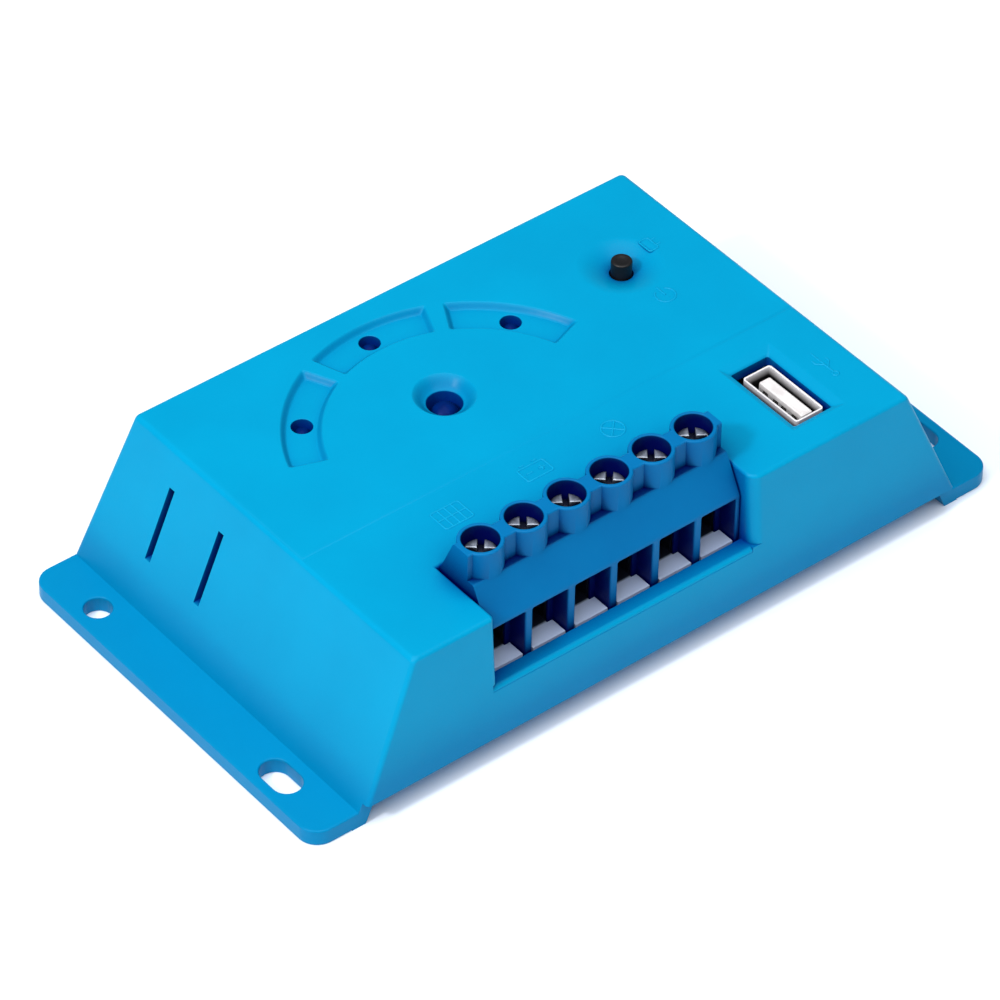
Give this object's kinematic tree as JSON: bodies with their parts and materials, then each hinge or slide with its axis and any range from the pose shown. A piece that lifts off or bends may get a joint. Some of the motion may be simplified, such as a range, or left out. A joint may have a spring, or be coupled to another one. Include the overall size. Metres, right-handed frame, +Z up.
{
  "type": "solar charge controller",
  "caption": "Solar charge controller: moulded blue housing with two fixing flanges, screw terminal block with rising clamps, USB-A socket, push button and indicator lamps.",
  "frame": {"origin": "on the mounting surface, under the middle of the housing", "axes": "+X along the housing from one flange to the other, with the USB socket and button at the +X end; -Y towards the wiring side; +Z up, away from the mounting surface"},
  "size_m": [0.137, 0.0746, 0.035],
  "materials": {
    "housing_plastic": "fine moulded grain, bright blue",
    "block_plastic": "smooth satin, deep blue",
    "board_laminate": "solder-masked glass epoxy",
    "zinc_steel": "zinc-plated steel",
    "clamp_steel": "nickel-plated pressed steel",
    "tinned_metal": "tinned copper",
    "contact_brass": "plated brass",
    "spreader_aluminium": "bare aluminium",
    "black_plastic": "black moulded",
    "white_plastic": "off-white moulded",
    "lamp_lens": "dark tinted cast lens",
    "capacitor_sleeve": "shrink sleeve"
  },
  "bodies": {
    "housing": {"top_housing": "housing_plastic", "base_cover": "housing_plastic", "circuit_board": "board_laminate", "base_screw_1": "zinc_steel", "board_screw_1": "zinc_steel", "base_screw_2": "zinc_steel", "board_screw_2": "zinc_steel", "base_screw_3": "zinc_steel", "board_screw_3": "zinc_steel", "base_screw_4": "zinc_steel", "board_screw_4": "zinc_steel", "terminal_block": "block_plastic", "contact_bar_1": "tinned_metal", "contact_bar_2": "tinned_metal", "contact_bar_3": "tinned_metal", "contact_bar_4": "tinned_metal", "contact_bar_5": "tinned_metal", "contact_bar_6": "tinned_metal", "usb_shell": "clamp_steel", "usb_tongue": "white_plastic", "usb_contact_1": "contact_brass", "usb_contact_2": "contact_brass", "usb_contact_3": "contact_brass", "usb_contact_4": "contact_brass", "switch_body": "black_plastic", "switch_dome": "clamp_steel", "switch_frame": "clamp_steel", "status_led_1": "lamp_lens", "led_spacer_1": "black_plastic", "status_led_2": "lamp_lens", "led_spacer_2": "black_plastic", "status_led_3": "lamp_lens", "led_spacer_3": "black_plastic", "charge_led": "lamp_lens", "charge_led_spacer": "black_plastic", "power_transistor_1": "black_plastic", "power_transistor_2": "black_plastic", "power_transistor_3": "black_plastic", "heat_spreader": "spreader_aluminium", "input_capacitor": "capacitor_sleeve", "output_capacitor": "capacitor_sleeve", "buck_inductor": "black_plastic", "controller_chip": "black_plastic"},
    "clamp_screw_1": {"clamp_screw_1": "zinc_steel"},
    "clamp_cage_1": {"clamp_cage_1": "clamp_steel"},
    "clamp_screw_2": {"clamp_screw_2": "zinc_steel"},
    "clamp_cage_2": {"clamp_cage_2": "clamp_steel"},
    "clamp_screw_3": {"clamp_screw_3": "zinc_steel"},
    "clamp_cage_3": {"clamp_cage_3": "clamp_steel"},
    "clamp_screw_4": {"clamp_screw_4": "zinc_steel"},
    "clamp_cage_4": {"clamp_cage_4": "clamp_steel"},
    "clamp_screw_5": {"clamp_screw_5": "zinc_steel"},
    "clamp_cage_5": {"clamp_cage_5": "clamp_steel"},
    "clamp_screw_6": {"clamp_screw_6": "zinc_steel"},
    "clamp_cage_6": {"clamp_cage_6": "clamp_steel"},
    "load_button": {"load_button": "black_plastic"}
  },
  "joints": [
    {"name": "clamp_screw_1_turn", "type": "hinge", "parent": "housing", "child": "clamp_screw_1", "pos_m": [-0.02917, -0.0264, 0.03], "axis": [0, 0, -1], "range_deg": [0, 1440]},
    {"name": "clamp_cage_1_rise", "type": "slide", "parent": "housing", "child": "clamp_cage_1", "axis": [0, 0, 1], "range_m": [0, 0.0028]},
    {"name": "clamp_screw_2_turn", "type": "hinge", "parent": "housing", "child": "clamp_screw_2", "pos_m": [-0.02082, -0.0264, 0.03], "axis": [0, 0, -1], "range_deg": [0, 1440]},
    {"name": "clamp_cage_2_rise", "type": "slide", "parent": "housing", "child": "clamp_cage_2", "axis": [0, 0, 1], "range_m": [0, 0.0028]},
    {"name": "clamp_screw_3_turn", "type": "hinge", "parent": "housing", "child": "clamp_screw_3", "pos_m": [-0.01247, -0.0264, 0.03], "axis": [0, 0, -1], "range_deg": [0, 1440]},
    {"name": "clamp_cage_3_rise", "type": "slide", "parent": "housing", "child": "clamp_cage_3", "axis": [0, 0, 1], "range_m": [0, 0.0028]},
    {"name": "clamp_screw_4_turn", "type": "hinge", "parent": "housing", "child": "clamp_screw_4", "pos_m": [-0.00413, -0.0264, 0.03], "axis": [0, 0, -1], "range_deg": [0, 1440]},
    {"name": "clamp_cage_4_rise", "type": "slide", "parent": "housing", "child": "clamp_cage_4", "axis": [0, 0, 1], "range_m": [0, 0.0028]},
    {"name": "clamp_screw_5_turn", "type": "hinge", "parent": "housing", "child": "clamp_screw_5", "pos_m": [0.00422, -0.0264, 0.03], "axis": [0, 0, -1], "range_deg": [0, 1440]},
    {"name": "clamp_cage_5_rise", "type": "slide", "parent": "housing", "child": "clamp_cage_5", "axis": [0, 0, 1], "range_m": [0, 0.0028]},
    {"name": "clamp_screw_6_turn", "type": "hinge", "parent": "housing", "child": "clamp_screw_6", "pos_m": [0.01257, -0.0264, 0.03], "axis": [0, 0, -1], "range_deg": [0, 1440]},
    {"name": "clamp_cage_6_rise", "type": "slide", "parent": "housing", "child": "clamp_cage_6", "axis": [0, 0, 1], "range_m": [0, 0.0028]},
    {"name": "load_button_press", "type": "slide", "parent": "housing", "child": "load_button", "axis": [0, 0, -1], "range_m": [0, 0.0003], "stiffness_N_per_m": 1500, "springref_m": -0.0002}
  ],
  "couplings": [
    {"joint": "clamp_screw_1_turn", "follows": "clamp_cage_1_rise", "rad_per_m": 8975.9},
    {"joint": "clamp_screw_2_turn", "follows": "clamp_cage_2_rise", "rad_per_m": 8975.9},
    {"joint": "clamp_screw_3_turn", "follows": "clamp_cage_3_rise", "rad_per_m": 8975.9},
    {"joint": "clamp_screw_4_turn", "follows": "clamp_cage_4_rise", "rad_per_m": 8975.9},
    {"joint": "clamp_screw_5_turn", "follows": "clamp_cage_5_rise", "rad_per_m": 8975.9},
    {"joint": "clamp_screw_6_turn", "follows": "clamp_cage_6_rise", "rad_per_m": 8975.9}
  ]
}
